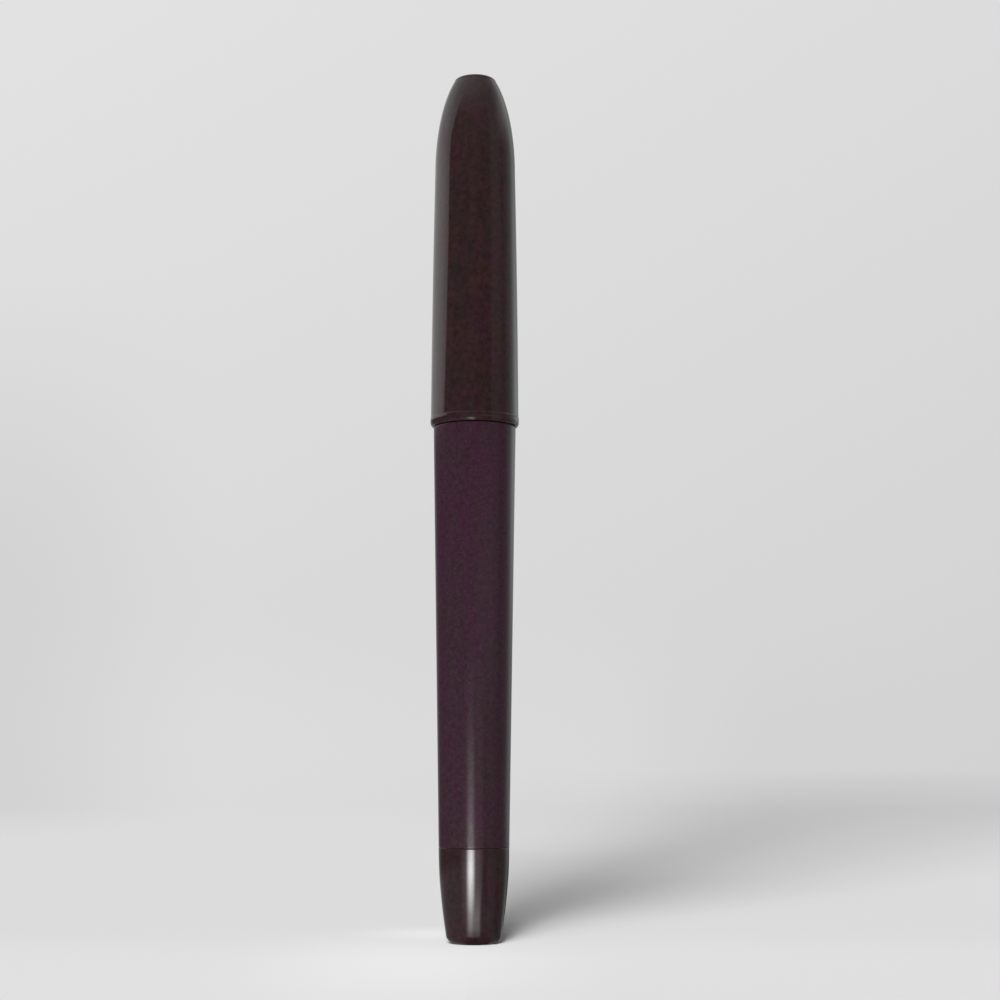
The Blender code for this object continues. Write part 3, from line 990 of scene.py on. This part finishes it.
# Inner cap: seals over the nose, with a flange below and the spring's post on top
innerCapLook = {
    "sides": 96,
    "rounding": 0.00016,
    "bore": 0.00345,
    "radius": 0.004,
    "flangeRadius": 0.00475,
    "flange": 0.001,
    "bodyLength": 0.0145,
    "topRadius": 0.003,
    "tipBore": 0.00245,
    "topWall": 0.001,
    "postRadius": 0.00125,
    "postHeight": 0.0008,
    "sealDepth": 0.0041,
}


def makeInnerCap(look):
    low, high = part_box("inner_cap")
    top = high.z - look["postHeight"]
    points = [
        (0, high.z),
        (look["postRadius"], high.z),
        (look["postRadius"], top),
        (look["topRadius"], top),
        (look["radius"], low.z + look["bodyLength"]),
        (look["radius"], low.z + look["flange"]),
        (look["flangeRadius"], low.z + look["flange"]),
        (look["flangeRadius"], low.z),
        (look["bore"], low.z),
        (look["bore"], low.z + look["sealDepth"]),
        (look["tipBore"], top - look["topWall"]),
        (0, top - look["topWall"]),
    ]
    rings = roundedProfile(points, look["rounding"], closed=False, count=3)
    innerCap = turnPiece("innerCap", rings, look["sides"], closed=False)
    dress(innerCap, "sealing_cap", "inner_cap", "natural_plastic")


makeInnerCap(innerCapLook)


# The pieces that no pose uncovers keep their CAD shapes
for nodeName, nodeSlot in (
    ("collector", "white_plastic"),
    ("feed_core", "black_felt"),
    ("front_seal", "dark_rubber"),
    ("tail_seal", "dark_rubber"),
    ("mixing_ball", "bright_steel"),
):
    giveFinish(nodes[nodeName], nodeSlot)


# The spring is a merged copy of its CAD shape, fixed as it stands; the real one shortens as the
# inner cap is pressed up
springLook = {"mergeGap": 0.000001, "smoothAngle": 40}


def makeSpring(look):
    deselectAll()
    coil = nodes["cap_spring"]
    coil.select_set(True)
    bpy.context.view_layer.objects.active = coil
    bpy.ops.object.duplicate()
    spring = bpy.context.object
    spring.name = "capSpring"
    for note in ("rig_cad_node", "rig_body"):     # the copy is a piece of its own
        del spring[note]
    bpy.ops.object.parent_clear(type="CLEAR_KEEP_TRANSFORM")
    setMode("EDIT")
    bpy.ops.mesh.select_all(action="SELECT")
    bpy.ops.mesh.remove_doubles(threshold=look["mergeGap"])
    bpy.ops.mesh.normals_make_consistent(inside=False)
    setMode("OBJECT")
    bpy.ops.object.shade_smooth_by_angle(angle=math.radians(look["smoothAngle"]))
    giveFinish(spring, "bright_steel")
    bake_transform(spring)
    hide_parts("cap_spring")
    print("made", spring.name, len(spring.data.polygons), "faces")


makeSpring(springLook)


# What gloss sees of the room, by the turn round the pen in degrees, left of the camera positive
roomLook = {
    "front": (0.025, 0.025 + 0.085),    # more of it where the nose looks
    "frontRise": (0.2, 0.5),
    "sheen": [              # and right of the middle where the barrel looks
        (-30, 0), (-12, 0.08), (13, 0.3), (35, 0.45), (59, 0.17), (80, 0),
    ],
    "sheenFoot": 0.01,
    "sheenTop": (0.07, 0.15),
    "box": [                # the bright box on the left
        (70, 0.66), (87, 0.72), (99, 0.92), (112, 0.85), (129, 0.68), (139, 0.52), (157, 0.24),
        (180, 0.22),
    ],
    "boxPower": 1.2,
    "boxRise": [(0, 1), (0.31, 1), (0.36, 0.87), (0.42, 0.77), (0.5, 0.82), (1, 0.82)],
    "boxEdge": 78,
    "boxFade": (-0.8, 2.2),
    "boxSlant": (0.3007, 657),        # its edge slants below this rise
    "boxFoot": (0.16, 0.176, 75),    # and it ends here
    "boxLean": 22,        # how far its edge leans in on the nose
    "leanRise": (0.45, 0.75),
    "boxSoft": 5,
    "softRise": (0.45, 0.7),
    "shoulder": [           # a soft light on the nose's right
        (0, 0), (70, 0), (80, 0.2), (92, 0.4), (108, 0.45), (128, 0.34), (150, 0.1),
        (180, 0),
    ],
    "shoulderRise": (0.37, 0.53),
    "left": [(0, 0), (110, 0.015), (139, 0.09), (150, 0.28), (180, 0.38)],
    "right": [
        (0, 0), (77, 0.012), (86, 0.07), (100, 0.19), (110, 0.31), (118, 0.44), (127, 0.62),
        (135, 0.75), (142, 0.7), (151, 0.42), (180, 0.35),
    ],
    "rightRise": [          # its share, by how steeply the ray rises
        (-1, 0.35), (-0.09, 0.4), (-0.045, 0.8), (0.05, 0.9), (0.13, 1.5), (0.2, 1.3),
        (0.31, 0.85), (1, 0.85),
    ],
    "stripe": [(43, 0), (48, 0.13), (62, 0.15), (74, 0.12), (84, 0), (180, 0)],
    "rightTint": (0.9, 1, 0.96),
    "tintTurn": (70, 100),
    "tintRise": (0.4, 0.5),
    "dimRise": (0.4, 0.9),
    "dimTop": 0.75,
    "top": 0.52,
    "topLeft": 0.32,
    "topRise": (0.55, 0.95),
}


def turnOf(x, y):
    # Degrees round the pen from the camera's side, left of it positive
    return times(maths("ARCTAN2", times(x, -1), times(y, -1)), 180 / math.pi)


def buildRoom(look):
    group, given, made = newGroup("room", {}, ["Glow"], ["Tint"])
    x, y, z = fedNode("SeparateXYZ", given["Vector"]).outputs
    turn = turnOf(x, y)
    rightTurn = times(turn, -1)
    # the bright box on the left ends at a slanting edge, and stops short of level
    slantTop, slantRate = look["boxSlant"]
    under = maths("MAXIMUM", minus(slantTop, z), 0)
    edge = plus(times(under, under, slantRate), ease(z, *look["boxFoot"], 0), look["boxEdge"])
    edge = minus(edge, ramp(z, *look["leanRise"], 0, look["boxLean"]))
    past = maths("DIVIDE", minus(turn, edge), ramp(z, *look["softRise"], 1, look["boxSoft"]))
    box = times(steps(turn, look["box"], 0, 180), look["boxPower"])
    box = times(box, steps(z, look["boxRise"], 0, 1))
    right = times(steps(rightTurn, look["right"], 0, 180), steps(z, look["rightRise"], -1, 1))
    shoulder = times(steps(rightTurn, look["shoulder"], 0, 180), ease(z, *look["shoulderRise"]))
    sheen = times(steps(rightTurn, look["sheen"], -30, 80), ramp(z, 0, look["sheenFoot"]))
    level = plus(
        times(box, ease(past, *look["boxFade"])),
        steps(turn, look["left"], 0, 180),
        right,
        steps(rightTurn, look["stripe"], 0, 180),
        shoulder,
        ramp(z, *look["frontRise"], *look["front"]),
        times(sheen, ease(z, *look["sheenTop"], 1, 0)),
    )
    level = times(level, ramp(z, *look["dimRise"], 1, look["dimTop"]))
    overhead = minus(look["top"], times(x, look["topLeft"]))
    mix = addNode(group, "Mix")
    for index, value in ((0, ease(z, *look["topRise"])), (2, level), (3, overhead)):
        link(value, mix.inputs[index])
    link(mix.outputs[0], made["Glow"])
    tinted = times(ramp(rightTurn, *look["tintTurn"]), ramp(z, *look["tintRise"], 1, 0))
    link(mixColour(tinted, (1, 1, 1), look["rightTint"]), made["Tint"])
    return group


room = buildRoom(roomLook)


# Background seen by the camera: a little darker downwards and to the right
backLook = {
    "middle": 0.67,
    "halfWidth": 0.25,
    "side": 0.1,
    "top": 0.0675,
    "topRise": 0.36,
    "leftDip": 0.06,
    "dipSide": (-0.13, -0.25),
    "dipRise": (0.26, 0.1),
    "low": [(-0.25, 0.6), (-0.17, 1), (0.05, 1.1), (0.085, 0.5), (0.13, 0), (0.25, 0.15)],
    "lowShare": (0.028, 0.008),     # what this adds near the horizon, and what it takes away there
    "lowRise": 0.09,
}


def buildBackdrop(look):
    group, given, made = newGroup("backdrop", {}, ["Glow"])
    x, y, z = fedNode("SeparateXYZ", given["Vector"]).outputs
    half = look["halfWidth"]
    side = ramp(x, -half, half, half * look["side"], -half * look["side"])
    glow = plus(side, ramp(z, 0, look["topRise"], 0, look["top"]), look["middle"])
    dip = times(ease(x, *look["dipSide"]), ease(z, *look["dipRise"]), look["leftDip"])
    added, taken = look["lowShare"]
    low = minus(times(steps(x, look["low"], -half, half), added + taken), taken)
    low = times(low, ease(z, 0, look["lowRise"], 1, 0))
    link(plus(minus(glow, dip), low), made["Glow"])
    return group


backdrop = buildBackdrop(backLook)


# Highlight strip that lies on the floor in front, seen by gloss alone and only from low down
stripLook = {
    "turn": 9.6,
    "core": 1,            # degrees to each side at full strength
    "edge": 17,           # and where it ends
    "halo": 0.11,
    "haloEdge": 38,
    "leftGlow": 0.18,       # what the floor's left adds, close by
    "leftTurn": (8, 40),
    "leftReach": (0.07, 0.14),
    "rightCut": 0.26,       # and what its right takes away
    "rightTurn": (-85, -130),
    "rightReach": (0.15, 0.4),
    "secondTurn": (-11, -19),   # a weaker strip to the right of it, close by and further off
    "secondPlace": (0.014, 0.05),
    "secondCore": 4,
    "secondEdge": 14,
    "secondHalo": 0.17,
    "secondFar": 52,
    "secondGlow": [
        (0.0075, 0), (0.0095, 1.4), (0.016, 1.9), (0.028, 1.15), (0.045, 0.6), (0.2, 0.42),
        (0.95, 0.33),
    ],
    "seenBelow": (0.03, 0.05),
    "lipHeight": (0.07, 0.085),
    "lipShare": 0.13,       # how much of it the cap's lip catches
    "penRadius": 0.0054,
    "power": 16.7,
    "glow": [               # by the distance from the pen's axis
        (0.0075, 0), (0.0095, 0.16), (0.0175, 0.29), (0.028, 0.55), (0.045, 0.79), (0.077, 1),
        (0.176, 0.88), (0.194, 0.1), (0.45, 0.2), (0.75, 0.24), (0.95, 0),
    ],
}


def buildStrip(look):
    group, given, made = newGroup("strip", {"Length": 0}, ["Glow"])
    x, y, z = fedNode("SeparateXYZ", given["Vector"]).outputs
    turn = turnOf(x, y)
    distance = lengthOf(given["Vector"])
    off = maths("ABSOLUTE", minus(turn, look["turn"]))
    across = ease(off, look["core"], look["edge"], 1, 0)
    across = plus(across, ease(off, 0, look["haloEdge"], look["halo"], 0))
    # the ray's length and its reach over the floor tell how high up it started
    length, reach = given["Length"], minus(distance, look["penRadius"])
    lift = minus(times(length, length), times(reach, reach))
    full, none = look["seenBelow"]
    low = ease(lift, full ** 2, none ** 2, 1, 0)
    lipLow, lipHigh = look["lipHeight"]
    atLip = times(maths("GREATER_THAN", lift, lipLow ** 2), maths("LESS_THAN", lift, lipHigh ** 2))
    seen = plus(low, times(atLip, look["lipShare"]))
    glow = times(across, farSteps(distance, look["glow"]), seen, look["power"])
    secondTurn = ramp(distance, *look["secondPlace"], *look["secondTurn"])
    off = maths("ABSOLUTE", minus(turn, secondTurn))
    second = ease(off, look["secondCore"], look["secondEdge"], 1, 0)
    second = plus(second, ramp(off, look["secondCore"], look["secondFar"], look["secondHalo"], 0))
    second = times(second, farSteps(distance, look["secondGlow"]), low)
    left = ease(turn, *look["leftTurn"], 0, look["leftGlow"])
    left = times(left, ease(distance, *look["leftReach"], 1, 0))
    right = ease(turn, *look["rightTurn"], 0, -look["rightCut"])
    right = times(right, ease(distance, *look["rightReach"], 1, 0))
    link(plus(glow, second, left, right), made["Glow"])
    return group


strip = buildStrip(stripLook)


# Floor: pale, with painted light and shadow, fading into the background far behind the pen
floorLook = {
    "size": 16,
    "colour": 0.712,        # where the camera sees it
    "bounce": 0.55,         # what it throws back on the pen
    # painted light in the colour that the camera sees: brighter towards the front
    "paintedNearLight": 1.045,
    "nearEdge": (0.03, -0.03),
    "glare": 0.1,          # painted light: brighter in front of the foot, in a streak towards the camera
    "glarePlace": (-0.008, -0.012, 0),
    "glareStretch": 0.4,
    "glareReach": 0.03,
    "spot": 0.1,           # and a painted pool of light close beside it on the left
    "spotPlace": (-0.006, 0.018, 0),
    "spotReach": 0.016,
    "paintedShadow": [               # painted shadow: darker behind on the right, by distance
        (0.022, 0), (0.045, 0.16), (0.08, 0.31), (0.14, 0.31), (0.2, 0.27), (0.27, 0.26),
        (0.36, 0.25), (0.51, 0.225), (0.75, 0.175), (1.2, 0.105), (3, 0.036), (8, 0),
    ],
    "paintedShadowTurn": [           # and by the turn to the right of straight behind
        (-3, 0), (0, 0.16), (3, 0.227), (6, 0.51), (8.5, 0.76), (11.5, 0.92),
        (16, 0.645), (24, 0.31), (34, 0),
    ],
    "paintedShadowDepth": 1.5,
    "fade": (0.28, 1),    # where it turns into the background
}


def makeFloor(look):
    deselectAll()
    bpy.ops.mesh.primitive_plane_add(size=look["size"], location=(0, 0, 0))
    floor = bpy.context.object
    floor.name = "floor"
    finish, shader, place = newMaterial("paleFloor")
    finish.cycles.emission_sampling = "NONE"
    tree = finish.node_tree
    path = addNode(tree, "LightPath").outputs
    x, y, z = fedNode("SeparateXYZ", place).outputs
    # painted light: brighter towards the front, in a streak before the foot and a pool beside it
    bright = ease(y, *look["nearEdge"], 1, look["paintedNearLight"])
    drawn = stretched(place, (1, look["glareStretch"], 1))
    for spot, middle, reach, strength in (
        (drawn, look["glarePlace"], look["glareReach"], look["glare"]),
        (place, look["spotPlace"], look["spotReach"], look["spot"]),
    ):
        apart = fedNode("VectorMath", spot, middle, operation="DISTANCE").outputs["Value"]
        bright = plus(bright, ease(apart, 0, reach, strength, 0))
    distance = lengthOf(place)
    # painted shadow: darker behind the pen on the right, by turn and distance; clear is what it
    # leaves
    turn = turnOf(times(x, -1), times(y, -1))
    byTurn = times(steps(turn, look["paintedShadowTurn"], -3, 34, "B_SPLINE"), look["paintedShadowDepth"])
    clear = minus(1, times(byTurn, farSteps(distance, look["paintedShadow"], "B_SPLINE")))
    shown = times(bright, clear, look["colour"])
    isCamera = path["Is Camera Ray"]
    pale = plus(times(isCamera, shown), times(minus(1, isCamera), look["bounce"]))
    setInputs(shader, Base_Color=pale, Roughness=0.9, Specular_IOR_Level=0)
    # far off it glows as the background does where the camera would see it, painted shadow and all
    fromCamera = fedNode("VectorMath", place, (0, cameraSetup["distance"], 0), operation="ADD")
    farGlow = useGroup(backdrop, wayOf(fromCamera.outputs[0]))["Glow"]
    far = addNode(tree, "Emission")
    setInputs(far, Strength=times(farGlow, clear))
    seen = mixShader(ease(distance, *look["fade"]), shader.outputs[0], far.outputs[0])
    # and gloss sees the room there, with the strip
    roomSeen = useGroup(room, wayOf(place))
    stripGlow = useGroup(strip, place, Length=path["Ray Length"])["Glow"]
    gloss = fedNode("Emission", roomSeen["Tint"], plus(roomSeen["Glow"], stripGlow)).outputs[0]
    both = mixShader(path["Is Glossy Ray"], seen, gloss)
    link(both, tree.nodes["Material Output"].inputs["Surface"])
    floor.data.materials.append(finish)
    return floor


floor = makeFloor(floorLook)


# Surroundings: even light on the pen, the background for the camera, the room for gloss
worldLook = {"horizon": 0.3, "overhead": 0.1}


def makeWorld(look):
    world = bpy.data.worlds.new("paleStudio")
    studio.world = world
    world.use_nodes = True
    tree = world.node_tree
    path = addNode(tree, "LightPath").outputs
    way = addNode(tree, "TexCoord").outputs["Generated"]
    even = tree.nodes["Background"]
    lift = ramp(heightOf(way), 0, 1, look["horizon"], look["overhead"])
    setInputs(even, Color=(1, 1, 1, 1), Strength=lift)
    shown = fedNode("Background", (1, 1, 1, 1), useGroup(backdrop, way)["Glow"]).outputs[0]
    roomSeen = useGroup(room, way)
    shine = fedNode("Background", roomSeen["Tint"], roomSeen["Glow"]).outputs[0]
    through = maths("MAXIMUM", path["Is Camera Ray"], path["Is Transmission Ray"])
    plain = mixShader(through, even.outputs[0], shown)
    both = mixShader(path["Is Glossy Ray"], plain, shine)
    link(both, tree.nodes["World Output"].inputs["Surface"])


makeWorld(worldLook)


# Lamps. Turns are degrees round the pen from the camera's side, left of it positive. The floor
# has three of its own, so that its shadow is as deep as it should be, and the others leave it out
lampLooks = {
    "penKey": {"turn": 9, "rise": 16, "power": 1.55, "spread": 14, "floor": False},
    "penBack": {"turn": 180, "rise": 24, "power": 0.9, "spread": 50, "floor": False},
    "floorKey": {"turn": 4.7, "rise": 21, "power": 3.33, "spread": 11, "floor": True},
    "floorSide": {"turn": 9, "rise": 32, "power": 1.73, "spread": 17, "floor": True},
    "floorWide": {"turn": 17, "rise": 34, "power": 1.02, "spread": 33, "floor": True},
}


def addLamp(name, kind, look, distance, height):
    turn = math.radians(look["turn"])
    place = (-math.sin(turn) * distance, -math.cos(turn) * distance, height)
    bpy.ops.object.light_add(type=kind, location=place)
    lamp = bpy.context.object
    lamp.name = name
    lamp.data.energy = look["power"]
    lamp.rotation_euler = (math.radians(90 - look["rise"]), 0, -turn)
    lamp.visible_camera = False
    lamp.visible_glossy = False
    lit = bpy.data.collections.new(name + "Lit")
    lit.objects.link(floor)
    lamp.light_linking.receiver_collection = lit
    if not look["floor"]:
        lit.collection_objects[0].light_linking.link_state = "EXCLUDE"
    return lamp.data


for lampName, lampLook in lampLooks.items():
    lampHeight = math.tan(math.radians(lampLook["rise"]))
    sun = addLamp(lampName, "SUN", lampLook, 1, lampHeight)
    sun.angle = math.radians(lampLook["spread"])


# A low soft lamp on the left, close by, which lifts the barrel's side more than the cap's
fillLook = {
    "turn": 62, "rise": 0, "distance": 0.09, "height": 0.028, "floor": False,
    "size": 0.05, "power": 0.026, "colour": (0.86, 1, 1),
}
fill = addLamp("sideFill", "AREA", fillLook, fillLook["distance"], fillLook["height"])
fill.size = fillLook["size"]
fill.color = fillLook["colour"]
print("studio built")
